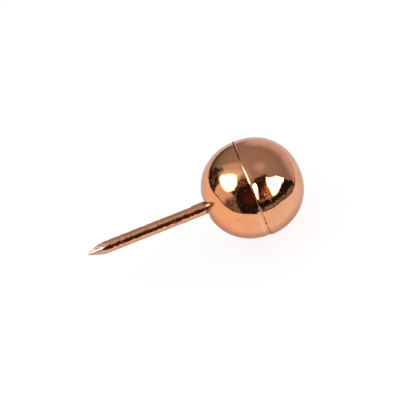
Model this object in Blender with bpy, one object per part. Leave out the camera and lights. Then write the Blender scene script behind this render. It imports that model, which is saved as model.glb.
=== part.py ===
"""A nail with a ball for a head: a wire nail, two drawn half shells lapped at the middle, and a core.

The nail lies along X. Its blunt point is at the origin and the ball is at the +X end.
All sizes are in metres.
"""

import math

import bmesh
import bpy

MM = 0.001

# Driving dimensions
WIRE_DIAMETER = 1.86 * MM  # 1.8 mm wire and its plating
SHANK_LENGTH = 19.8 * MM  # point to the flat ring that seats against the wall
BALL_LENGTH = 16.0 * MM  # pole to pole along the nail
BALL_WIDTH = 15.7 * MM  # across the middle, the front shell's belled rim apart
BALL_SQUARENESS = 2.08  # 2 is a true ellipse; a drawn shell is a little fuller on its shoulders
SHEET = 0.2 * MM
CLEARANCE = 0.05 * MM  # between pieces that bear on each other

# Nail
POINT_LENGTH = 3.4 * MM
POINT_FLAT_RADIUS = 0.22 * MM
POINT_FULLNESS = 1.75  # 1 is a straight taper, 2 is a parabola that meets the shank smoothly
POINT_RIDGE = 1.3  # the section's exponent at the tip: 1 is a sharp diamond, 2 is round
DIE_TURN = math.radians(38.0)  # the point's ridges and the flash are turned this far about the shank, from +Z
FLASH_LENGTH = 2.2 * MM
FLASH_HEIGHT = 0.15 * MM
FLASH_HALF_ANGLE = math.radians(50.0)
HEAD_DIAMETER = 3.6 * MM
HEAD_THICKNESS = 0.6 * MM

# Shells
SEAT_RADIUS = 1.9 * MM  # outer edge of the flat ring round the hole
REAR_STEP = 0.06 * MM  # how much smaller in radius the rear shell is
BELL_EDGE = 0.05 * MM  # the front shell's free edge, ahead of the ball's middle
BELL_LENGTH = 0.9 * MM  # the front shell's rim flares out over this length to lap the rear shell
BELL_RISE = 0.12 * MM
NECK_START = -0.4 * MM  # where the rear shell steps in, behind the ball's middle
NECK_RAMP = 0.15 * MM

# Fineness
TURN_STEPS = 48
WIRE_STEPS = 24
SHELL_POINTS = 13
BELL_POINTS = 4
CORE_POINTS = 18
POINT_RINGS = 8
CORNER_ANGLE = math.radians(30.0)
MERGE_DISTANCE = 0.0001 * MM

# Materials: colour, roughness, metallic
SHEET_COPPER = (0.86, 0.42, 0.24), 0.12, 1.0
WIRE_COPPER = (0.78, 0.36, 0.20), 0.22, 1.0
FILLING = (0.22, 0.19, 0.16), 0.8, 0.0

# Worked out from the above
WIRE_RADIUS = WIRE_DIAMETER / 2
HALF_LENGTH = BALL_LENGTH / 2
HALF_WIDTH = BALL_WIDTH / 2
REAR_HALF_WIDTH = HALF_WIDTH - REAR_STEP
BELL_START = BELL_EDGE + BELL_LENGTH


def oval_height(half_length, half_width, radius):
    """Distance along the axis from an oval's middle to its surface, at a radius from the axis."""
    share = 1 - (radius / half_width) ** BALL_SQUARENESS
    return half_length * share ** (1 / BALL_SQUARENESS)


def oval_radius(half_length, half_width, height):
    """Radius of an oval's surface at a distance along the axis from its middle."""
    return oval_height(half_width, half_length, abs(height))


SEAT_DEPTH = HALF_LENGTH - oval_height(HALF_LENGTH, REAR_HALF_WIDTH, SEAT_RADIUS)
BALL_MIDDLE = SHANK_LENGTH - SEAT_DEPTH + HALF_LENGTH
HEAD_START = SHANK_LENGTH + SHEET + CLEARANCE


def oval_arc(half_length, half_width, start_height, end_height, count):
    """Points (height, radius) along an oval, spaced evenly by angle, heights measured from its middle."""
    start = math.acos(start_height / half_length)
    end = math.acos(end_height / half_length)
    points = []
    for step in range(count):
        angle = start + (end - start) * step / (count - 1)
        height = half_length * math.cos(angle)
        points.append((height, oval_radius(half_length, half_width, height)))
    return points


def make_material(name, colour, roughness, metallic):
    material = bpy.data.materials.new(name)
    material.use_nodes = True
    shader = material.node_tree.nodes["Principled BSDF"]
    shader.inputs["Base Color"].default_value = (*colour, 1.0)
    shader.inputs["Roughness"].default_value = roughness
    shader.inputs["Metallic"].default_value = metallic
    return material


def add_object(name, body, material):
    """Turn a finished bmesh into a named object, smooth but for its real corners."""
    bmesh.ops.recalc_face_normals(body, faces=body.faces)
    mesh = bpy.data.meshes.new(name)
    body.to_mesh(mesh)
    body.free()
    mesh.materials.append(material)
    mesh.shade_smooth()
    mesh.set_sharp_from_angle(angle=CORNER_ANGLE)
    piece = bpy.data.objects.new(name, mesh)
    bpy.context.collection.objects.link(piece)
    return piece


def add_turned(name, profile, closed, material):
    """Turn a profile about the X axis. Its points are (distance along X, radius)."""
    body = bmesh.new()
    points = [body.verts.new((x, 0.0, radius)) for x, radius in profile]
    for near, far in zip(points, points[1:]):
        body.edges.new((near, far))
    if closed:
        body.edges.new((points[-1], points[0]))
    bmesh.ops.spin(
        body,
        geom=body.verts[:] + body.edges[:],
        cent=(0.0, 0.0, 0.0),
        axis=(1.0, 0.0, 0.0),
        angle=2 * math.pi,
        steps=TURN_STEPS,
        use_merge=True,
    )
    bmesh.ops.remove_doubles(body, verts=body.verts, dist=MERGE_DISTANCE)
    return add_object(name, body, material)


def front_bell(inset):
    """Points (height, radius) along the front shell's belled rim, edge last, a depth below its outer face."""
    points = []
    for step in range(1, BELL_POINTS + 1):
        share = step / BELL_POINTS
        height = BELL_START - BELL_LENGTH * share
        radius = oval_radius(HALF_LENGTH - inset, HALF_WIDTH - inset, height) + BELL_RISE * share**2
        points.append((height, radius))
    return points


def make_front_shell():
    inner_pole = HALF_LENGTH - SHEET
    outer = oval_arc(HALF_LENGTH, HALF_WIDTH, HALF_LENGTH, BELL_START, SHELL_POINTS)
    outer += front_bell(0.0)
    inner = front_bell(SHEET)[::-1]
    inner += oval_arc(inner_pole, HALF_WIDTH - SHEET, BELL_START, inner_pole, SHELL_POINTS)
    profile = [(BALL_MIDDLE + height, radius) for height, radius in outer + inner]
    return add_turned("front_shell", profile, False, make_material("copper_front", *SHEET_COPPER))


def make_rear_shell():
    """The rear shell's spigot follows the inside of the front shell's bell."""
    neck_end = NECK_START + NECK_RAMP
    seat = -(HALF_LENGTH - SEAT_DEPTH)
    hole = WIRE_RADIUS + CLEARANCE
    spigot = front_bell(SHEET + CLEARANCE)
    spigot += [(neck_end, spigot[-1][1])]
    lining = [(height, radius - SHEET) for height, radius in spigot[::-1]]

    outer = spigot + oval_arc(HALF_LENGTH, REAR_HALF_WIDTH, NECK_START, seat, SHELL_POINTS)
    outer += [(seat, hole)]
    inner = [(seat + SHEET, hole)]
    inner += oval_arc(HALF_LENGTH - SHEET, REAR_HALF_WIDTH - SHEET, seat + SHEET, NECK_START, SHELL_POINTS)
    profile = [(BALL_MIDDLE + height, radius) for height, radius in outer + inner + lining]
    return add_turned("rear_shell", profile, True, make_material("copper_rear", *SHEET_COPPER))


def make_core():
    half_length = HALF_LENGTH - SHEET - CLEARANCE
    half_width = front_bell(SHEET + CLEARANCE)[0][1] - SHEET - CLEARANCE
    rear_face = HEAD_START + HEAD_THICKNESS + CLEARANCE - BALL_MIDDLE
    profile = oval_arc(half_length, half_width, half_length, rear_face, CORE_POINTS)
    profile += [(rear_face, 0.0)]
    profile = [(BALL_MIDDLE + height, radius) for height, radius in profile]
    return add_turned("core", profile, False, make_material("filling", *FILLING))


def point_radius(x):
    """Outline of the point: the blunt flat at x = 0 grows to the wire's radius at the point's length."""
    left = 1 - min(x / POINT_LENGTH, 1.0)
    return WIRE_RADIUS - (WIRE_RADIUS - POINT_FLAT_RADIUS) * left ** POINT_FULLNESS


def wire_section(x, radius, flash):
    """One ring of the wire: a soft diamond near the point, round along the shank, a flash on one side."""
    ridge = POINT_RIDGE + (2 - POINT_RIDGE) * min(x / POINT_LENGTH, 1.0)
    ring = []
    for step in range(WIRE_STEPS):
        angle = 2 * math.pi * step / WIRE_STEPS
        diamond = (abs(math.cos(angle)) ** ridge + abs(math.sin(angle)) ** ridge) ** (-1 / ridge)
        from_top = abs(math.remainder(angle, 2 * math.pi))
        rise = math.cos(min(from_top / FLASH_HALF_ANGLE, 1.0) * math.pi / 2) ** 2
        reach = radius * diamond + flash * rise
        turn = angle + DIE_TURN
        ring.append((x, reach * math.sin(turn), reach * math.cos(turn)))
    return ring


def make_nail():
    flash_end = SHANK_LENGTH - CLEARANCE
    flash_start = flash_end - FLASH_LENGTH
    head_end = HEAD_START + HEAD_THICKNESS
    head_radius = HEAD_DIAMETER / 2

    sections = []
    for step in range(POINT_RINGS + 1):
        x = POINT_LENGTH * step / POINT_RINGS
        sections.append((x, point_radius(x), 0.0))
    sections += [
        (flash_start, WIRE_RADIUS, 0.0),
        (flash_start + FLASH_HEIGHT, WIRE_RADIUS, FLASH_HEIGHT),
        (flash_end - FLASH_HEIGHT, WIRE_RADIUS, FLASH_HEIGHT),
        (flash_end, WIRE_RADIUS, 0.0),
        (HEAD_START, WIRE_RADIUS, 0.0),
        (HEAD_START, head_radius, 0.0),
        (head_end, head_radius, 0.0),
    ]

    body = bmesh.new()
    rings = [[body.verts.new(place) for place in wire_section(*section)] for section in sections]
    for near, far in zip(rings, rings[1:]):
        for i in range(WIRE_STEPS):
            j = (i + 1) % WIRE_STEPS
            body.faces.new((near[i], near[j], far[j], far[i]))
    body.faces.new(rings[0])
    body.faces.new(rings[-1])
    return add_object("nail", body, make_material("copper_wire", *WIRE_COPPER))


for thing in list(bpy.data.objects):
    bpy.data.objects.remove(thing)
bpy.context.scene.unit_settings.scale_length = 1.0

make_nail()
make_rear_shell()
make_front_shell()
make_core()
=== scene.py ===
import math
import random

import bmesh
import bpy
from mathutils import Matrix, Vector, noise


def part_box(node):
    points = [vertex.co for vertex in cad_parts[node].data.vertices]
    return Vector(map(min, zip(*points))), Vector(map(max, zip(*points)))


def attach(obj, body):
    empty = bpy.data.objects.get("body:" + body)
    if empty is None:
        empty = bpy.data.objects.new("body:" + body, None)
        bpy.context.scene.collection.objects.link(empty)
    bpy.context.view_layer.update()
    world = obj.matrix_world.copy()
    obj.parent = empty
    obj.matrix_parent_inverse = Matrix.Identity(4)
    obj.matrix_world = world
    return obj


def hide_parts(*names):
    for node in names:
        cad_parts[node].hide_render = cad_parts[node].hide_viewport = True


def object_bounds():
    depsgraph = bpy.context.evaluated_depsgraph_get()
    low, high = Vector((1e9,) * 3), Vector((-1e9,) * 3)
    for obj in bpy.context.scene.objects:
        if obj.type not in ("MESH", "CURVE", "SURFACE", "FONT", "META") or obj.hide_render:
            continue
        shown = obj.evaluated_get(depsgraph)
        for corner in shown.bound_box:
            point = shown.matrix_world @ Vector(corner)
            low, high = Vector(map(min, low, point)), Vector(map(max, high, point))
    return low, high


# The looks of the ball-headed nail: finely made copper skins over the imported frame, in a small plain studio.
# All sizes are in metres, and the nail lies along X with its point at the origin.

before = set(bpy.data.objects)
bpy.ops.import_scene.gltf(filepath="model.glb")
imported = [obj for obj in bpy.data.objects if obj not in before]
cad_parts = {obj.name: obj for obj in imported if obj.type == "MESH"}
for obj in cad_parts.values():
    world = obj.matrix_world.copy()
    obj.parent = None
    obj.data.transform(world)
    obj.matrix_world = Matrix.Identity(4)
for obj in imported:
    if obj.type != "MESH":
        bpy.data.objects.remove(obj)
cad_low, cad_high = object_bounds()
nail_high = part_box("nail")[1]
rear_low, rear_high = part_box("rear_shell")
front_low, front_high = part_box("front_shell")

MM = 0.001

# Directions. Angles round the nail are measured from SIDE, and 90 degrees faces the camera
SIGHT_ELEVATION = math.radians(38.0)
SIGHT = Vector((0.0, math.cos(SIGHT_ELEVATION), -math.sin(SIGHT_ELEVATION)))  # the line of sight
SIDE = Vector((0.0, math.sin(SIGHT_ELEVATION), math.cos(SIGHT_ELEVATION)))  # square to it and to the nail
AHEAD = Vector((1.0, 0.0, 0.0))  # along the nail, from its point to the ball

# The ball: the frame's sizes, a touch squarer. Heights are along the nail, measured from the ball's middle
HALF_LENGTH = 8.0 * MM
SQUARENESS = 2.12  # 2 is a true ellipse, and the CAD has 2.08
SHEET = 0.2 * MM
CLEARANCE = 0.05 * MM
REAR_STEP = 0.06 * MM  # how much smaller in radius the rear shell is
BELL_RISE = 0.12 * MM  # how far the CAD's front rim stands out
MIDDLE = front_high.x - HALF_LENGTH
HALF_WIDTH = front_high.z - BELL_RISE
REAR_HALF_WIDTH = HALF_WIDTH - REAR_STEP
BELL_EDGE = front_low.x - MIDDLE
SPIGOT_END = rear_high.x - MIDDLE
SEAT = rear_low.x - MIDDLE
RIPPLE = 0.010 * MM  # how far the pressed sheet is off true
RIPPLE_LENGTH = 2.6 * MM

# The front shell: pressed on a little askew and off centre
TILT = math.radians(1.3)
YAW = math.radians(1.6)
OFF_CENTRE = 0.06 * MM

# Its rim: a belled band, widest and highest where it faces the camera, that turns in again at its free edge
RIM_SET_BACK = 0.11 * MM  # how much farther back its free edge sits than the CAD's
RIM_EDGE = BELL_EDGE - RIM_SET_BACK
RIM_FACING = math.radians(87.0)  # where round the rim it is belled most
RIM_FACING_POWER = 24  # how narrow that place is
RIM_BELOW_POWER = 4
RIM_RISE = 0.04 * MM
RIM_RISE_FACING = 0.21 * MM
RIM_RISE_ABOVE = 0.05 * MM
RIM_LENGTH = 0.30 * MM
RIM_LENGTH_FACING = 0.86 * MM
RIM_CURVE = 1.4
RIM_END = RIM_EDGE + RIM_LENGTH + RIM_LENGTH_FACING
EDGE_WIDTH = 0.10 * MM
EDGE_WIDTH_BELOW = 0.17 * MM
EDGE_WIDTH_BETWEEN = 0.09 * MM  # between the top and the camera's side, and opposite that
EDGE_WIDTH_FACING = 0.13 * MM
EDGE_SLOPE = math.tan(math.radians(20.0))
EDGE_SOFTNESS = 0.03 * MM
EDGE_ROUNDING = 0.03 * MM
EDGE_ROUNDING_INSIDE = 0.02 * MM
EDGE_WAVE = 0.02 * MM
EDGE_WAVES = 2.6  # about how many there are round the edge

# The rear shell: its crease runs unevenly, and its hole sits round a wire that is off the middle
NECK_MIDDLE = -0.36 * MM
NECK_SKEW_BELOW = 0.36 * MM
NECK_SKEW_FACING = 0.26 * MM
NECK_BELOW_START = 0.3  # as a share of the radius below the middle
NECK_BELOW_SPAN = 0.3
NECK_RAMP = 0.12 * MM
NECK_RADIUS = 7.73 * MM  # of the neck and spigot, which the front shell's sheet sinks into by up to 0.18 mm
NECK_OFF_CENTRE = 0.03 * MM
NECK_WAVES = 2.2
NECK_WAVE_PLACE = Vector((5.0, 0.0, 0.0))  # away from the front edge's waves, so that the two differ
SKEW_REACH = 1.5 * MM  # how far the shell gives way to either side of its crease and round its hole
SEAT_RADIUS = 1.9 * MM
SEAT_SHOULDER = 0.25 * MM
SEAT_SHOULDER_RISE = 0.05 * MM
HOLE_ROUNDING = 0.04 * MM

# The wire
WIRE_RADIUS = 0.945 * MM
WIRE_OFF_CENTRE = 0.23 * MM
POINT_LENGTH = 3.4 * MM
POINT_FLAT_RADIUS = 0.15 * MM  # from the axis to a flat of the point, at its end
POINT_FULLNESS = 1.35  # 1 is a straight cut
POINT_TURN = math.radians(58.0)  # from SIDE to the middle of one of the point's four flats
POINT_RIDGE = 3.5  # the sharpness of the ridges between the flats
POINT_BLEND = 0.05 * MM  # how softly the flats run out into the round shank
FLASH_LENGTH = 2.2 * MM
FLASH_HEIGHT = 0.12 * MM
FLASH_STEEPNESS = 3.0
FLASH_HALF_ANGLE = math.radians(50.0)
HEAD_RADIUS = nail_high.z
HEAD_THICKNESS = 0.6 * MM
HEAD_CHAMFER = 0.1 * MM

# Its dents
WIRE_LOBES = 0.016 * MM  # the shank is very slightly four-lobed, from the gripping dies
WIRE_LOBE_ANGLE = math.radians(91.5)
WIRE_DENTS = [  # how often they come along the wire (per mm) and round it, and how deep they are
    (0.35, 1.4, 0.012 * MM),
    (1.5, 2.2, 0.024 * MM),
    (3.5, 4.0, 0.011 * MM),
]
NICK_SEED = 7
NICK_COUNT = 22
NICK_SIZE = 0.20 * MM
NICK_SIZES = 0.6, 1.3  # the range, as a share of NICK_SIZE
NICK_DEPTH = 0.06 * MM
NICK_DEPTHS = 0.4, 1.0
NICK_REACH = 3.0  # where a nick has faded out, in its own sizes

# Fineness
TURNS = 192
WIRE_TURNS = 96
ARC_POINTS = 90
LINING_POINTS = 30
RIM_ROWS = 26
ROUNDING_STEPS = 6
POINT_RINGS = 40
SHANK_RINGS = 170
FLASH_RINGS = 30
POLE_RADIUS = 1e-7  # a ring smaller than this is a single point
CORNER_ANGLE = math.radians(40.0)


def clamp(value):
    return min(max(value, 0.0), 1.0)


def oval_height(half_length, half_width, radius):
    share = 1 - min(radius / half_width, 1.0) ** SQUARENESS
    return half_length * share ** (1 / SQUARENESS)


def oval_arc(inset, half_width, start, end, count):
    """Points (height, radius) along an oval, spaced by angle, at a depth below the ball's surface."""
    length = HALF_LENGTH - inset
    width = half_width - inset
    first = math.acos(start / length)
    last = math.acos(end / length)
    points = []
    for step in range(count):
        height = length * math.cos(first + (last - first) * step / (count - 1))
        points.append((height, oval_height(width, length, abs(height))))
    return points


def soften(corners):
    """Round the corners of an outline. Each corner is (height, radius, rounding)."""
    points = []
    for i, (height, radius, rounding) in enumerate(corners):
        here = Vector((height, radius))
        if rounding == 0.0:
            points.append(tuple(here))
            continue
        before = Vector(corners[i - 1][:2])
        after = Vector(corners[(i + 1) % len(corners)][:2])
        start = here + (before - here).normalized() * rounding
        end = here + (after - here).normalized() * rounding
        for step in range(ROUNDING_STEPS + 1):
            t = step / ROUNDING_STEPS
            bend = start * (1 - t) ** 2 + here * 2 * t * (1 - t) + end * t**2
            points.append(tuple(bend))
    return points


def plain(points):
    """Corners that aren't rounded, for soften."""
    return [(height, radius, 0.0) for height, radius in points]


def around(angle):
    """A unit vector across the nail, at an angle from SIDE."""
    return SIDE * math.cos(angle) - SIGHT * math.sin(angle)


def rippled(point):
    """A pressed sheet is never quite true: shift a point in or out by up to RIPPLE."""
    away = point - AHEAD * MIDDLE
    shift = noise.noise(point / RIPPLE_LENGTH) * RIPPLE
    return point + away.normalized() * shift


def turned_body(profile, closed, place):
    """Turn an outline about the nail, each point put where place(height, radius, angle) says."""
    body = bmesh.new()
    rings = []
    for height, radius in profile:
        if radius < POLE_RADIUS:
            rings.append([body.verts.new(place(height, 0.0, 0.0))])
            continue
        ring = [body.verts.new(place(height, radius, math.tau * i / TURNS)) for i in range(TURNS)]
        rings.append(ring)
    pairs = list(zip(rings, rings[1:]))
    if closed:
        pairs.append((rings[-1], rings[0]))
    for near, far in pairs:
        for i in range(TURNS):
            j = (i + 1) % TURNS
            corners = [near[i % len(near)], near[j % len(near)], far[j % len(far)], far[i % len(far)]]
            body.faces.new(list(dict.fromkeys(corners)))
    return body


def add_piece(name, body, material, node):
    """Turn a finished bmesh into the piece that stands for a CAD node."""
    bmesh.ops.recalc_face_normals(body, faces=body.faces)
    mesh = bpy.data.meshes.new(name)
    body.to_mesh(mesh)
    body.free()
    mesh.materials.append(material)
    mesh.shade_smooth()
    mesh.set_sharp_from_angle(angle=CORNER_ANGLE)
    piece = bpy.data.objects.new(name, mesh)
    bpy.context.collection.objects.link(piece)
    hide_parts(node)
    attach(piece, "root")


def rim_rise(height, angle):
    """How far the front shell's rim stands out of the ball: belled, then turned in again at its free edge."""
    facing = max(0.0, math.cos(angle - RIM_FACING)) ** RIM_FACING_POWER
    below = ((1 - math.cos(angle)) / 2) ** RIM_BELOW_POWER
    above = max(0.0, math.cos(angle)) ** 2
    between = max(0.0, math.sin(2 * angle))
    length = RIM_LENGTH + RIM_LENGTH_FACING * facing
    rise = RIM_RISE + RIM_RISE_FACING * facing + RIM_RISE_ABOVE * above
    edge_width = EDGE_WIDTH + EDGE_WIDTH_BELOW * below
    edge_width += EDGE_WIDTH_BETWEEN * between + EDGE_WIDTH_FACING * facing

    from_edge = height - RIM_EDGE
    share = clamp((length - from_edge) / (length - edge_width))
    past_crest = edge_width - from_edge
    turned_in = (past_crest + math.hypot(past_crest, EDGE_SOFTNESS)) / 2
    return rise * share**RIM_CURVE - turned_in * EDGE_SLOPE


def make_front_shell(material):
    """The half ball that laps the other: belled rim, rounded free edge, plain inside."""
    turn = Matrix.Rotation(TILT, 3, -SIGHT) @ Matrix.Rotation(YAW, 3, -SIDE)
    shift = AHEAD * MIDDLE - SIDE * OFF_CENTRE

    def place(height, radius, angle):
        near_rim = clamp((RIM_END - height) / (RIM_END - RIM_EDGE))
        wave = noise.noise(around(angle) * EDGE_WAVES) * EDGE_WAVE * near_rim
        out = radius
        if height < RIM_END + SHEET:
            out += rim_rise(height, angle)
        point = AHEAD * (height + wave) + around(angle) * out
        return rippled(turn @ point + shift)

    heights = [RIM_END + (RIM_EDGE - RIM_END) * step / RIM_ROWS for step in range(1, RIM_ROWS + 1)]
    outer = [(height, oval_height(HALF_WIDTH, HALF_LENGTH, abs(height))) for height in heights]
    inner = [(height, radius - SHEET) for height, radius in outer[::-3]]
    corners = plain(oval_arc(0.0, HALF_WIDTH, HALF_LENGTH, RIM_END, ARC_POINTS))
    corners += plain(outer[:-1])
    corners.append((*outer[-1], EDGE_ROUNDING))
    corners.append((*inner[0], EDGE_ROUNDING_INSIDE))
    corners += plain(inner[1:])
    corners += plain(oval_arc(SHEET, HALF_WIDTH, RIM_END + SHEET, HALF_LENGTH - SHEET, LINING_POINTS))
    body = turned_body(soften(corners), False, place)
    add_piece("front_shell_skin", body, material, "front_shell")


def neck_skew(angle):
    """How far the rear shell's crease is off its mean place: back below, ahead on the camera's side."""
    t = clamp((-math.cos(angle) - NECK_BELOW_START) / NECK_BELOW_SPAN)
    below = t * t * (3 - 2 * t)
    facing = max(0.0, math.sin(angle)) ** 2
    return NECK_SKEW_FACING * facing * (1 - below) - NECK_SKEW_BELOW * below


def make_rear_shell(material):
    """The half ball on the shank: seat ring with its hole, dome, shallow neck and spigot."""
    hole = WIRE_RADIUS + CLEARANCE
    neck_end = NECK_MIDDLE + NECK_RAMP
    spigot = [(SPIGOT_END, NECK_RADIUS), (BELL_EDGE, NECK_RADIUS), (neck_end, NECK_RADIUS)]

    def place(height, radius, angle):
        near_neck = max(0.0, 1 - abs(height - NECK_MIDDLE) / SKEW_REACH)
        skew = neck_skew(angle) * near_neck
        wave = noise.noise(around(angle) * NECK_WAVES + NECK_WAVE_PLACE) * EDGE_WAVE * near_neck
        near_seat = max(0.0, 1 - (height - SEAT) / SKEW_REACH)
        shift = SIDE * (-WIRE_OFF_CENTRE * near_seat * (radius < SEAT_RADIUS))
        if height > NECK_MIDDLE:
            shift = SIDE * -NECK_OFF_CENTRE
        point = AHEAD * (MIDDLE + height + skew + wave) + around(angle) * radius
        return rippled(point + shift)

    corners = plain(spigot)
    corners += plain(oval_arc(0.0, REAR_HALF_WIDTH, NECK_MIDDLE, SEAT + SEAT_SHOULDER_RISE, ARC_POINTS))
    corners.append((SEAT, SEAT_RADIUS - SEAT_SHOULDER, 0.0))
    corners.append((SEAT, hole, HOLE_ROUNDING))
    corners.append((SEAT + SHEET, hole, 0.0))
    corners += plain(oval_arc(SHEET, REAR_HALF_WIDTH, SEAT + SHEET, NECK_MIDDLE, LINING_POINTS))
    corners += plain([(height, radius - SHEET) for height, radius in spigot[::-1]])
    body = turned_body(soften(corners), True, place)
    add_piece("rear_shell_skin", body, material, "rear_shell")


def wire_reach(x, angle):
    """The wire's radius at an angle from SIDE: round, but for the four flats that pinch off its point."""
    left = 1 - x / POINT_LENGTH
    taper = math.copysign(abs(left) ** POINT_FULLNESS, left)
    flat = WIRE_RADIUS - (WIRE_RADIUS - POINT_FLAT_RADIUS) * taper
    turned = angle - POINT_TURN
    toward = abs(math.cos(turned)) ** POINT_RIDGE + abs(math.sin(turned)) ** POINT_RIDGE
    cut = flat / toward ** (1 / POINT_RIDGE)
    return (cut + WIRE_RADIUS - math.hypot(cut - WIRE_RADIUS, POINT_BLEND)) / 2


def scatter_nicks():
    """Small nicks from handling, all along the shank: (x, angle, size, depth)."""
    chance = random.Random(NICK_SEED)
    nicks = []
    for _ in range(NICK_COUNT):
        x = chance.uniform(POINT_LENGTH, MIDDLE + SEAT)
        size = NICK_SIZE * chance.uniform(*NICK_SIZES)
        angle = chance.uniform(0.0, math.tau)
        nicks.append((x, angle, size, NICK_DEPTH * chance.uniform(*NICK_DEPTHS)))
    return nicks


def wire_dent(x, angle, nicks):
    """How far the wire's surface is off true: lobes, waves and ripples, and a few nicks."""
    dent = WIRE_LOBES * math.cos(4 * (angle - WIRE_LOBE_ANGLE)) * min(x / POINT_LENGTH, 1.0)
    for often_along, often_around, depth in WIRE_DENTS:
        dent += noise.noise(AHEAD * (x / MM) * often_along + around(angle) * often_around) * depth
    for nick_x, nick_angle, size, depth in nicks:
        across = math.remainder(angle - nick_angle, math.tau) * WIRE_RADIUS
        away = math.hypot(x - nick_x, across) / size
        if away < NICK_REACH:
            dent -= depth * math.exp(-(away**2))
    return dent


def wire_ring(x, radius, flash, nicks):
    """One ring of the wire, or of its head if radius is given, with a flash on one side."""
    ring = []
    for step in range(WIRE_TURNS):
        angle = math.tau * step / WIRE_TURNS
        from_side = abs(math.remainder(angle, math.tau))
        rise = math.cos(min(from_side / FLASH_HALF_ANGLE, 1.0) * math.pi / 2) ** 2
        reach = (radius or wire_reach(x, angle)) + flash * rise
        place = AHEAD * x - SIDE * WIRE_OFF_CENTRE + around(angle) * reach
        ring.append(place + around(angle) * wire_dent(x, angle, nicks))
    return ring


def make_nail(material):
    """The wire nail: point, shank, die flash beside the ball, and the flat head inside it."""
    seat = MIDDLE + SEAT
    flash_start = seat - CLEARANCE - FLASH_LENGTH
    head_start = seat + SHEET + CLEARANCE
    head_end = head_start + HEAD_THICKNESS
    shank = flash_start - POINT_LENGTH

    sections = [(POINT_LENGTH * step / POINT_RINGS, None, 0.0) for step in range(POINT_RINGS + 1)]
    for step in range(1, SHANK_RINGS):
        sections.append((POINT_LENGTH + shank * step / SHANK_RINGS, None, 0.0))
    for step in range(FLASH_RINGS + 1):
        t = step / FLASH_RINGS
        flash = FLASH_HEIGHT * min(1.0, math.sin(math.pi * t) * FLASH_STEEPNESS)
        sections.append((flash_start + FLASH_LENGTH * t, None, flash))
    sections += [
        (head_start, None, 0.0),
        (head_start, HEAD_RADIUS - HEAD_CHAMFER, 0.0),
        (head_start + HEAD_CHAMFER, HEAD_RADIUS, 0.0),
        (head_end - HEAD_CHAMFER, HEAD_RADIUS, 0.0),
        (head_end, HEAD_RADIUS - HEAD_CHAMFER, 0.0),
    ]

    nicks = scatter_nicks()
    body = bmesh.new()
    loops = [[body.verts.new(place) for place in wire_ring(*section, nicks)] for section in sections]
    for near, far in zip(loops, loops[1:]):
        for i in range(WIRE_TURNS):
            j = (i + 1) % WIRE_TURNS
            body.faces.new((near[i], near[j], far[j], far[i]))
    body.faces.new(loops[0])
    body.faces.new(loops[-1])
    add_piece("nail_wire", body, material, "nail")


# Materials. Scales are per millimetre, and ranges are where a mask goes from none to full


def new_node(tree, kind, settings=None, **inputs):
    """Add a node. Inputs are values or sockets to link, by name with _ for a space, or as i0, i1 and on."""
    node = tree.nodes.new(kind)
    for key, value in (settings or {}).items():
        setattr(node, key, value)
    for key, value in inputs.items():
        numbered = key[0] == "i" and key[1:].isdigit()
        socket = node.inputs[int(key[1:])] if numbered else node.inputs[key.replace("_", " ")]
        if isinstance(value, bpy.types.NodeSocket):
            tree.links.new(value, socket)
        else:
            socket.default_value = value
    return node


def calc(tree, operation, *values):
    inputs = {f"i{i}": value for i, value in enumerate(values)}
    return new_node(tree, "ShaderNodeMath", {"operation": operation}, **inputs).outputs[0]


def vector_calc(tree, operation, **inputs):
    return new_node(tree, "ShaderNodeVectorMath", {"operation": operation}, **inputs).outputs[0]


def dot(tree, vector, direction):
    settings = {"operation": "DOT_PRODUCT"}
    node = new_node(tree, "ShaderNodeVectorMath", settings, i0=vector, i1=tuple(direction))
    return node.outputs["Value"]


def grain(tree, place, scale, detail, roughness=0.5):
    inputs = {"Vector": place, "Scale": scale, "Detail": detail, "Roughness": roughness}
    return new_node(tree, "ShaderNodeTexNoise", None, **inputs).outputs[0]


def smooth(tree, value, low, high):
    """0 below low, 1 above high, and a soft step between. low may be above high."""
    settings = {"interpolation_type": "SMOOTHSTEP"}
    return new_node(tree, "ShaderNodeMapRange", settings, Value=value, From_Min=low, From_Max=high).outputs[0]


def blend(tree, share, first, second):
    """Mix two colours, which may be sockets. A share of 1 is all of the second."""
    node = new_node(tree, "ShaderNodeMix", {"data_type": "RGBA"})
    for socket, value in ((node.inputs[0], share), (node.inputs[6], first), (node.inputs[7], second)):
        if isinstance(value, bpy.types.NodeSocket):
            tree.links.new(value, socket)
        elif socket.type == "RGBA":
            socket.default_value = (*value, 1.0)
        else:
            socket.default_value = value
    return node.outputs[2]


def stain(tree, colour, mask, strength, tone):
    """Colour the masked places."""
    return blend(tree, calc(tree, "MULTIPLY", mask, strength), colour, tone)


def new_material(name):
    material = bpy.data.materials.new(name)
    material.use_nodes = True
    return material, material.node_tree, material.node_tree.nodes["Principled BSDF"]


# Bright plated copper. Each stain is its strength and its tone
SHEET_TONES = (0.875, 0.375, 0.175), (0.84, 0.345, 0.155)
WIRE_TONES = (1.0, 0.445, 0.235), (0.94, 0.385, 0.195)
TONE_GRAIN = 0.35, 3.0  # a noise's scale and detail, as for the other grains
TONE_RANGE = 0.35, 0.65
STAIN_GRAIN = 2.6, 3.0
GRAIN_RANGE = 0.35, 0.70
GRAIN_STAIN = 0.16, (0.60, 0.20, 0.08)
FAINT_RANGE = 0.70, 0.76
FAINT_STAIN = 0.5, (0.35, 0.12, 0.05)
SPECK_SCALE = 2.2
SPECK_CHOSEN = 0.92, 0.94  # only the cells above this have a speck
SPECK_SIZE = 0.13
SPECK_SIZE_SPAN = 0.20
SPECK_SOFTNESS = 0.06
SPECK_STAIN = 0.75, (0.16, 0.05, 0.02)
SPECK_ROUGHNESS = 0.3
SKIN_GRAIN = 1.6, 2.0  # the orange peel
LINES_GRAIN = 2.0, 4.0  # the drawing lines
PIT_DEPTH = 4.0  # of a speck, in thousandths of a millimetre
LINES_DEPTH = 0.6  # against the orange peel's

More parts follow.
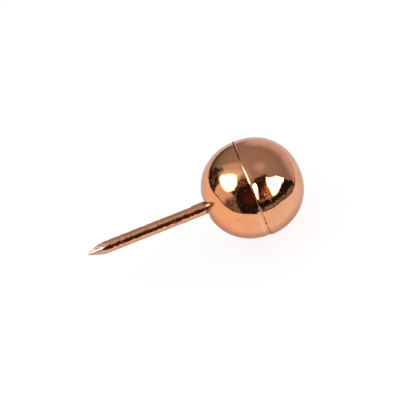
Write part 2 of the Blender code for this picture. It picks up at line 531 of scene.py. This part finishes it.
# Polish left in the seam, with painted shade in the gap between the shells, in grains that thicken towards the
# top of the ball and a little below
DIRT_AND_SHADE_GRAIN = 2.8, 2.0
DIRT_AND_SHADE_LIMIT = 0.62
DIRT_AND_SHADE_SOFTNESS = 0.12
DIRT_AND_SHADE_ABOVE = 4.0, 5.4  # in mm along SIDE
DIRT_AND_SHADE_MORE_ABOVE = 0.45
DIRT_AND_SHADE_BELOW = -3.6, -4.8
DIRT_AND_SHADE_MORE_BELOW = 0.20
DIRT_AND_SHADE_PALER_BELOW = 0.15
DIRT_AND_SHADE_ON_NECK = -0.10, -0.05  # in mm ahead of the front shell's free edge
DIRT_AND_SHADE_ON_EDGE = 0.19, 0.13
DIRT_AND_SHADE_STAIN = 0.92, (0.045, 0.016, 0.007)
DIRT_AND_SHADE_ROUGHNESS = 0.5

# A painted highlight: a light line along the rear shell's crease, low on the ball
CREASE_HIGHLIGHT_REAR = -0.16, 0.02  # in mm ahead of the crease where it is farthest back
CREASE_HIGHLIGHT_FRONT = 0.20, 0.06
CREASE_HIGHLIGHT_BELOW = -3.9, -5.2
CREASE_HIGHLIGHT_TONE = 0.55, (0.98, 0.53, 0.33)

# The wire: richer near the ball, with painted shade underneath, greyer on the point, with a dark collar at the
# ball
RICH_RANGE = 5.0, 17.0  # in mm from the point
RICH_STAIN = 0.8, (1.0, 0.42, 0.185)
UNDERSIDE_SHADE_RANGE = -0.5, -1.05
UNDERSIDE_PAINTED_SHADE = 1.0, (0.71, 0.285, 0.14)
TIP_RANGE = 3.6, 1.2
TIP_STAIN = 0.85, (0.56, 0.355, 0.26)
TIP_ROUGHNESS = 0.20
COLLAR_RANGE = 0.42, 0.22  # in mm from the ball
COLLAR_STAIN = 0.8, (0.16, 0.10, 0.11)
COLLAR_ROUGHNESS = 0.3
STAIN_WANDER = 0.5  # how far the ends of the wire's stains wander, in mm
MIRRORED_STAIN = 0.9, (0.30, 0.24, 0.16)  # for copper seen in copper, which two full tints turn deep orange

# The core's filling
FILLING_SCALE = 0.9
FILLING_DETAIL = 4.0
FILLING_TONES = (0.17, 0.145, 0.12), (0.27, 0.235, 0.20)
FILLING_ROUGHNESS = 0.8
FILLING_BUMP = 0.4
FILLING_BUMP_DEPTH = 0.02 * MM


def seam_dirt_and_shade(tree, in_mm, reach, colour, rough):
    square = AHEAD + SIDE * math.tan(TILT) - SIGHT * math.tan(YAW)
    along = calc(tree, "SUBTRACT", dot(tree, in_mm, square), (MIDDLE + RIM_EDGE) / MM)
    height = dot(tree, in_mm, SIDE)
    above = smooth(tree, height, *DIRT_AND_SHADE_ABOVE)
    below = smooth(tree, height, *DIRT_AND_SHADE_BELOW)
    limit = calc(tree, "MULTIPLY_ADD", below, -DIRT_AND_SHADE_MORE_BELOW, DIRT_AND_SHADE_LIMIT)
    limit = calc(tree, "MULTIPLY_ADD", above, -DIRT_AND_SHADE_MORE_ABOVE, limit)
    over = calc(tree, "SUBTRACT", grain(tree, in_mm, *DIRT_AND_SHADE_GRAIN), limit)
    dirt_and_shade = smooth(tree, over, 0.0, DIRT_AND_SHADE_SOFTNESS)
    dirt_and_shade = calc(tree, "MULTIPLY", dirt_and_shade, calc(tree, "MULTIPLY_ADD", below, -DIRT_AND_SHADE_PALER_BELOW, 1.0))
    dirt_and_shade = calc(tree, "MULTIPLY", dirt_and_shade, smooth(tree, along, *reach))
    # painted shade in the gap between the shells, mixed with polish left in the seam
    colour = stain(tree, colour, dirt_and_shade, *DIRT_AND_SHADE_STAIN)
    return colour, calc(tree, "MULTIPLY_ADD", dirt_and_shade, DIRT_AND_SHADE_ROUGHNESS, rough)


def front_dirt_and_shade(tree, in_mm, skin, colour, rough):
    # painted gap shade and seam polish along the front shell's free edge
    return seam_dirt_and_shade(tree, in_mm, DIRT_AND_SHADE_ON_EDGE, colour, rough)


def rear_dirt_shade_and_highlight(tree, in_mm, skin, colour, rough):
    # painted gap shade and seam polish on the rear shell's neck
    colour, rough = seam_dirt_and_shade(tree, in_mm, DIRT_AND_SHADE_ON_NECK, colour, rough)
    crease = (MIDDLE + NECK_MIDDLE - NECK_SKEW_BELOW) / MM
    along = calc(tree, "SUBTRACT", dot(tree, in_mm, AHEAD), crease)
    highlight = calc(tree, "MULTIPLY", smooth(tree, along, *CREASE_HIGHLIGHT_REAR), smooth(tree, along, *CREASE_HIGHLIGHT_FRONT))
    highlight = calc(tree, "MULTIPLY", highlight, smooth(tree, dot(tree, in_mm, SIDE), *CREASE_HIGHLIGHT_BELOW))
    # painted highlight: a lighter copper line along the crease
    return stain(tree, colour, highlight, *CREASE_HIGHLIGHT_TONE), rough


def wire_tones_and_shade(tree, in_mm, skin, colour, rough):
    wander = calc(tree, "SUBTRACT", skin, 0.5)
    along = calc(tree, "MULTIPLY_ADD", wander, STAIN_WANDER, dot(tree, in_mm, AHEAD))
    before_ball = calc(tree, "SUBTRACT", (MIDDLE + SEAT) / MM, along)
    tip = smooth(tree, along, *TIP_RANGE)
    collar = smooth(tree, before_ball, *COLLAR_RANGE)
    mirrored = new_node(tree, "ShaderNodeLightPath").outputs["Is Glossy Ray"]

    colour = stain(tree, colour, smooth(tree, along, *RICH_RANGE), *RICH_STAIN)
    # painted shade: the wire's underside darker
    colour = stain(tree, colour, smooth(tree, dot(tree, in_mm, SIDE), *UNDERSIDE_SHADE_RANGE), *UNDERSIDE_PAINTED_SHADE)
    colour = stain(tree, colour, tip, *TIP_STAIN)
    colour = stain(tree, colour, collar, *COLLAR_STAIN)
    colour = stain(tree, colour, mirrored, *MIRRORED_STAIN)
    rough = calc(tree, "MULTIPLY_ADD", tip, TIP_ROUGHNESS, rough)
    return colour, calc(tree, "MULTIPLY_ADD", collar, COLLAR_ROUGHNESS, rough)


def copper(name, bright, deep, roughness, peel, stretch, stains_and_painted_light):
    """Bright plated copper: uneven tone, faint orange peel, drawing lines along the wire, specks and pits."""
    material, tree, shader = new_material(name)
    place = new_node(tree, "ShaderNodeTexCoord").outputs["Object"]
    in_mm = vector_calc(tree, "SCALE", i0=place, Scale=1 / MM)
    drawn = vector_calc(tree, "MULTIPLY", i0=in_mm, i1=stretch)
    lines = grain(tree, drawn, *LINES_GRAIN)
    skin = grain(tree, in_mm, *SKIN_GRAIN)
    grains = grain(tree, in_mm, *STAIN_GRAIN)
    cell = new_node(tree, "ShaderNodeTexVoronoi", None, Vector=in_mm, Scale=SPECK_SCALE, Randomness=1.0)
    chance = new_node(tree, "ShaderNodeSeparateColor", None, Color=cell.outputs["Color"])
    size = calc(tree, "MULTIPLY_ADD", chance.outputs[1], SPECK_SIZE_SPAN, SPECK_SIZE)
    inside = calc(tree, "SUBTRACT", size, cell.outputs["Distance"])
    speck = smooth(tree, inside, 0.0, SPECK_SOFTNESS)
    speck = calc(tree, "MULTIPLY", speck, smooth(tree, chance.outputs[0], *SPECK_CHOSEN))

    colour = blend(tree, smooth(tree, grain(tree, in_mm, *TONE_GRAIN), *TONE_RANGE), deep, bright)
    colour = stain(tree, colour, smooth(tree, grains, *GRAIN_RANGE), *GRAIN_STAIN)
    colour = stain(tree, colour, smooth(tree, grains, *FAINT_RANGE), *FAINT_STAIN)
    colour = stain(tree, colour, speck, *SPECK_STAIN)
    rough = calc(tree, "MULTIPLY_ADD", lines, roughness, roughness / 2)
    rough = calc(tree, "MULTIPLY_ADD", speck, SPECK_ROUGHNESS, rough)
    # each part's own stains, with the painted shade and painted highlight that some parts have
    colour, rough = stains_and_painted_light(tree, in_mm, skin, colour, rough)
    height = calc(tree, "MULTIPLY_ADD", lines, peel * LINES_DEPTH, calc(tree, "MULTIPLY", skin, peel))
    height = calc(tree, "MULTIPLY_ADD", speck, -PIT_DEPTH, height)
    bump = new_node(tree, "ShaderNodeBump", None, Height=height, Strength=1.0, Distance=0.001 * MM)

    tree.links.new(colour, shader.inputs["Base Color"])
    tree.links.new(rough, shader.inputs["Roughness"])
    tree.links.new(bump.outputs[0], shader.inputs["Normal"])
    shader.inputs["Metallic"].default_value = 1.0
    return material


def filling(name):
    """The core's plain moulded filling: dull, faintly mottled."""
    material, tree, shader = new_material(name)
    place = new_node(tree, "ShaderNodeTexCoord").outputs["Object"]
    mottle = grain(tree, place, FILLING_SCALE / MM, FILLING_DETAIL)
    inputs = {"Height": mottle, "Strength": FILLING_BUMP, "Distance": FILLING_BUMP_DEPTH}
    bump = new_node(tree, "ShaderNodeBump", None, **inputs)
    tree.links.new(blend(tree, mottle, *FILLING_TONES), shader.inputs["Base Color"])
    tree.links.new(bump.outputs[0], shader.inputs["Normal"])
    shader.inputs["Roughness"].default_value = FILLING_ROUGHNESS
    return material


# Stage. The camera is rolled about its line of sight, so that the nail climbs to the right in the picture
ROLL = math.radians(21.56)
LENS = 400.0
PICTURE_WIDTH = 62.4 * MM  # at the nail's distance
AIM_AHEAD = 1.53 * MM  # from the middle of the nail towards the ball
AIM_ABOVE = 1.235 * MM
CLIP_NEAR = 0.01
CLIP_FAR = 10.0
FLOOR_RADIUS = 1.5
FLOOR_TURNS = 96
FLOOR_TONE = 0.15
FLOOR_GLOW = 0.86


def make_camera():
    data = bpy.data.cameras.new("camera")
    data.lens = LENS
    data.clip_start = CLIP_NEAR
    data.clip_end = CLIP_FAR
    camera = bpy.data.objects.new("camera", data)
    bpy.context.collection.objects.link(camera)
    bpy.context.scene.camera = camera
    across = AHEAD * math.cos(ROLL) - SIDE * math.sin(ROLL)
    up = across.cross(SIGHT)
    turn = Matrix((across, up, -SIGHT)).transposed()
    aim = AHEAD * ((cad_low.x + cad_high.x) / 2 + AIM_AHEAD) + SIDE * AIM_ABOVE
    distance = PICTURE_WIDTH * LENS / data.sensor_width
    camera.matrix_world = Matrix.Translation(aim - SIGHT * distance) @ turn.to_4x4()


def make_floor():
    """A pale light table under the ball. It gives light itself, so its shadows are faint."""
    material, _, shader = new_material("floor")
    shader.inputs["Base Color"].default_value = (FLOOR_TONE, FLOOR_TONE, FLOOR_TONE, 1.0)
    shader.inputs["Roughness"].default_value = 1.0
    shader.inputs["Specular IOR Level"].default_value = 0.0
    shader.inputs["Emission Color"].default_value = (1.0, 1.0, 1.0, 1.0)
    shader.inputs["Emission Strength"].default_value = FLOOR_GLOW

    body = bmesh.new()
    bmesh.ops.create_circle(body, cap_ends=True, segments=FLOOR_TURNS, radius=FLOOR_RADIUS)
    mesh = bpy.data.meshes.new("floor")
    body.to_mesh(mesh)
    body.free()
    mesh.materials.append(material)
    floor = bpy.data.objects.new("floor", mesh)
    floor.location = (MIDDLE, 0.0, cad_low.z)
    floor.visible_glossy = False
    bpy.context.collection.objects.link(floor)


# The studio that the bright copper mirrors. Directions are an azimuth, 0 towards the camera and rising to the
# right, and an elevation, both in degrees. They are rolled with the camera, so that the studio looks level
DAYLIGHT = (1.0, 1.0, 1.0)  # what lights everything that isn't a mirror
WALL_RANGE = 10.0, 70.0
WALL = (0.29, 0.30, 0.36)
CEILING = (0.37, 0.39, 0.46)
LAMP_WAY = Vector((0.177, -0.05, 0.98)).normalized()
LAMP_RANGE = 0.955, 1.01  # as the cosine of the angle to LAMP_WAY
LAMP = (0.60, 0.65, 0.77)
WINDOW = (9.0, 8.9, 8.5)
WARP_SCALE = 7.0
WARP_DETAIL = 3.0
WARP = 9.0  # how ragged the panels' outlines are, in degrees
MOTTLE_SCALE = 13.0
MOTTLE_DETAIL = 5.0
MOTTLE_ROUGHNESS = 0.7

# Mottled paints: the range of the mottle, and the tones it runs between
PAINTS = {
    "dark": (0.55, 0.75, (0.016, 0.013, 0.012), (0.24, 0.20, 0.18)),
    "brown": (0.40, 0.60, (0.05, 0.03, 0.025), (0.38, 0.22, 0.18)),
    "figures": (0.48, 0.72, (0.018, 0.012, 0.010), (0.28, 0.20, 0.16)),
    "figure": (0.46, 0.60, (0.07, 0.03, 0.02), (0.66, 0.44, 0.40)),
    "clutter": (0.48, 0.66, (0.018, 0.014, 0.012), (0.26, 0.23, 0.20)),
    "streak": (0.40, 0.56, (0.14, 0.05, 0.04), (0.95, 0.56, 0.54)),
    "lower": (0.38, 0.62, (0.08, 0.06, 0.06), (0.30, 0.26, 0.26)),
    "sill": (0.40, 0.60, (0.14, 0.13, 0.14), (0.36, 0.38, 0.42)),
}

# Soft-edged panels, back to front: paint, softness, and convex outline, clockwise with azimuth to the right
PANELS = [
    # walls
    ((0.17, 0.17, 0.20), 8.0, [(-164, -40), (-160, 12), (-80, 16), (-80, -40)]),
    ((0.66, 0.68, 0.84), 8.0, [(-220, -40), (-220, 45), (-172, 27), (-172, -40)]),
    ((0.66, 0.68, 0.84), 12.0, [(112, -40), (112, 18), (200, 34), (200, -40)]),
    ((0.09, 0.09, 0.09), 5.0, [(-168, -40), (-164, 4), (-100, 5), (-100, -40)]),
    ((0.64, 0.70, 0.79), 8.0, [(-116, 16), (-120, 66), (-50, 76), (-42, 16)]),
    # below the left window
    ((0.82, 0.82, 0.88), 3.0, [(-96, -14), (-92, 18), (-36, 18), (-52, -14)]),
    ("lower", 9.0, [(-64, -30), (-54, 4), (-34, 10), (-26, -30)]),
    # what stands between the windows and beside them
    ("dark", 3.0, [(-28, -40), (-32, 2), (-46, 24), (-46, 44), (-28, 56), (6, 54), (20, -40)]),
    ("brown", 3.0, [(-46, 26), (-50, 46), (-30, 58), (0, 54), (-6, 38), (-34, 34)]),
    ("dark", 3.0, [(2, -40), (2, 57), (24, 62), (52, 60), (42, 40), (60, -40)]),
    ((0.068, 0.018, 0.018), 6.0, [(-13, 2), (-17, 28), (-2, 31), (10, 2)]),
    ("figure", 2.0, [(16, 4), (18, 34), (30, 45), (40, 42), (38, 10), (34, 4)]),
    ("clutter", 3.0, [(-136, -14), (-121, 20), (-111, 33), (-99, 35), (-86, 19), (-90, -14)]),
    ("streak", 2.5, [(28, 4), (31, 34), (37, 38), (37, 6)]),
    ("figures", 4.0, [(6, 46), (8, 58), (26, 63), (54, 59), (54, 47)]),
    ("figures", 3.0, [(-54, 19), (-50, 34), (-44, 50), (-34, 50), (-34, 14)]),
    # the left window in its glow
    ((0.92, 0.98, 1.08), 9.0, [(-106, 24), (-98, 48), (-84, 62), (-58, 66), (-44, 56), (-40, 40), (-50, 20)]),
    (
        WINDOW,
        5.0,
        [(-95, 24), (-89, 40), (-80, 50), (-62, 55), (-50, 50), (-43, 34), (-48, 23), (-64, 17), (-82, 18)],
    ),
    # the right window, what stands before it, and its sill
    (WINDOW, 2.0, [(42, 10), (37, 38), (41, 49), (46, 52), (72, 42), (88, 23)]),
    ("dark", 2.0, [(10, -30), (14, 3), (42, 8), (60, 10), (100, 8), (114, -30)]),
    ("dark", 2.0, [(52, 4), (66, 19), (78, 23), (88, 20), (106, 0)]),
    ("sill", 2.0, [(20, -30), (24, -10), (46, -3), (60, -1), (100, -1), (110, -30)]),
]

# The white table: a sheet whose edges are near in front and farther away at the sides
TABLE_EDGES = [  # how fast each edge sinks below the horizon: towards the camera, and to the right
    (0.424, -0.04),
    (0.06, 0.17),
    (0.0, -0.145),
]
TABLE_HORIZON = 0.02
TABLE_RAGGEDNESS = 0.04
TABLE_SOFTNESS = 0.01
TABLE_SIDES = -0.5, 0.8
TABLE_LEFT = (1.03, 1.0, 1.0)
TABLE_RIGHT = (0.94, 1.07, 1.26)
TABLE_FAR = 0.35, 1.0  # as the cosine of the angle to the line of sight
SHADE_RANGE = -30.0, -55.0
SHADE = (0.68, 0.70, 0.75)
SHADE_LOW = (0.54, 0.39, 0.33)
TABLE_RIM_RANGE = -0.055, -0.035
TABLE_RIM_NEAR = -0.6, -0.2
TABLE_RIM_TONE = (0.06, 0.035, 0.03)


def lay_panel(tree, spot, behind, paint, softness, corners):
    share = 1.0
    for i, (azimuth, elevation) in enumerate(corners):
        following = corners[(i + 1) % len(corners)]
        edge = Vector((following[0] - azimuth, following[1] - elevation, 0.0))
        inward = Vector((edge.y, -edge.x, 0.0)).normalized()
        start = inward.x * azimuth + inward.y * elevation
        inside = smooth(tree, dot(tree, spot, inward), start - softness, start + softness)
        share = calc(tree, "MULTIPLY", inside, share)
    return blend(tree, share, behind, paint)


def lay_table(tree, way, near, right, up, elevation, mottle, behind):
    reach = TABLE_HORIZON
    for share_near, share_right in TABLE_EDGES:
        edge = calc(tree, "MULTIPLY_ADD", near, share_near, calc(tree, "MULTIPLY", right, share_right))
        reach = calc(tree, "MAXIMUM", edge, reach)
    below = calc(tree, "SUBTRACT", calc(tree, "MULTIPLY", up, -1.0), reach)
    below = calc(tree, "MULTIPLY_ADD", calc(tree, "SUBTRACT", mottle, 0.5), TABLE_RAGGEDNESS, below)
    table = blend(tree, smooth(tree, right, *TABLE_SIDES), TABLE_LEFT, TABLE_RIGHT)
    shade = blend(tree, smooth(tree, elevation, *SHADE_RANGE), SHADE, SHADE_LOW)
    table = blend(tree, smooth(tree, dot(tree, way, SIGHT), *TABLE_FAR), table, shade)
    rim = calc(tree, "MULTIPLY", smooth(tree, below, *TABLE_RIM_RANGE), smooth(tree, near, *TABLE_RIM_NEAR))
    colour = blend(tree, rim, behind, TABLE_RIM_TONE)
    return blend(tree, smooth(tree, below, -TABLE_SOFTNESS, TABLE_SOFTNESS), colour, table)


def make_studio():
    """What the bright copper mirrors: two windows, a grey ceiling, a dark front and the white table."""
    world = bpy.data.worlds.new("studio")
    bpy.context.scene.world = world
    world.use_nodes = True
    tree = world.node_tree

    way = new_node(tree, "ShaderNodeTexCoord").outputs["Generated"]
    settings = {"rotation_type": "AXIS_ANGLE"}
    rolled = new_node(tree, "ShaderNodeVectorRotate", settings, Vector=way, Axis=tuple(SIGHT), Angle=-ROLL)
    way = rolled.outputs[0]
    right, away, up = new_node(tree, "ShaderNodeSeparateXYZ", None, Vector=way).outputs
    near = calc(tree, "MULTIPLY", away, -1.0)
    azimuth = calc(tree, "MULTIPLY", calc(tree, "ARCTAN2", right, near), math.degrees(1))
    elevation = calc(tree, "MULTIPLY", calc(tree, "ARCSINE", up), math.degrees(1))
    spot = new_node(tree, "ShaderNodeCombineXYZ", None, X=azimuth, Y=elevation).outputs[0]

    ragged = new_node(tree, "ShaderNodeTexNoise", None, Vector=way, Scale=WARP_SCALE, Detail=WARP_DETAIL)
    warp = vector_calc(tree, "SUBTRACT", i0=ragged.outputs["Color"], i1=(0.5, 0.5, 0.5))
    warp = vector_calc(tree, "SCALE", i0=warp, Scale=WARP)
    spot = vector_calc(tree, "ADD", i0=spot, i1=warp)
    mottle = grain(tree, way, MOTTLE_SCALE, MOTTLE_DETAIL, MOTTLE_ROUGHNESS)

    colour = blend(tree, smooth(tree, elevation, *WALL_RANGE), WALL, CEILING)
    colour = blend(tree, smooth(tree, dot(tree, way, LAMP_WAY), *LAMP_RANGE), colour, LAMP)
    paints = {}
    for name, (low, high, first, second) in PAINTS.items():
        paints[name] = blend(tree, smooth(tree, mottle, low, high), first, second)
    for paint, softness, corners in PANELS:
        colour = lay_panel(tree, spot, colour, paints.get(paint, paint), softness, corners)
    colour = lay_table(tree, way, near, right, up, elevation, mottle, colour)

    mirrored = new_node(tree, "ShaderNodeLightPath").outputs["Is Glossy Ray"]
    colour = blend(tree, mirrored, DAYLIGHT, colour)
    tree.links.new(colour, tree.nodes["Background"].inputs["Color"])
    bpy.context.scene.view_settings.view_transform = "Standard"


SHEET_LOOK = *SHEET_TONES, 0.05, 4.0, (1.0, 1.0, 1.0)  # tones, roughness, orange peel, stretch of the lines
WIRE_LOOK = *WIRE_TONES, 0.13, 14.0, (0.4, 2.0, 2.0)

make_front_shell(copper("front_copper", *SHEET_LOOK, front_dirt_and_shade))
make_rear_shell(copper("rear_copper", *SHEET_LOOK, rear_dirt_shade_and_highlight))
make_nail(copper("wire_copper", *WIRE_LOOK, wire_tones_and_shade))
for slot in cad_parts["core"].material_slots:
    slot.material = filling("core_filling")
make_floor()
make_studio()
make_camera()
